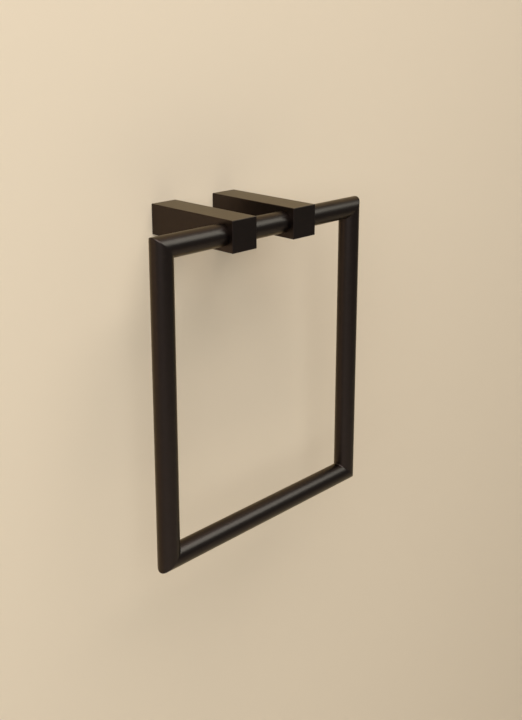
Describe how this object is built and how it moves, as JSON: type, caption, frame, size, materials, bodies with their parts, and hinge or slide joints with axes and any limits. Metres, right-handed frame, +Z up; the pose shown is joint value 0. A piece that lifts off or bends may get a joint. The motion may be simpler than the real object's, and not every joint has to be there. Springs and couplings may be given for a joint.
{
  "type": "towel ring",
  "caption": "Black rectangular towel ring of mitred round tube, carried by square arms that stand out from the wall and are fixed by hidden spigots.",
  "frame": {"origin": "on the wall, midway between the arms, at the height of the top bar's axis", "axes": "+Z up, +Y into the wall, +X to the right as seen from the front"},
  "size_m": [0.178, 0.075, 0.211],
  "materials": {
    "black_coat": "satin black coat, finely textured",
    "bare_steel": "turned stainless steel",
    "black_screw": "blackened steel"
  },
  "bodies": {
    "root": {"top_bar": "black_coat", "left_side": "black_coat", "right_side": "black_coat", "bottom_bar": "black_coat", "left_arm": "black_coat", "right_arm": "black_coat", "left_spigot": "bare_steel", "right_spigot": "bare_steel", "spigot_screws": "black_screw", "bar_screws": "black_screw"}
  },
  "joints": []
}
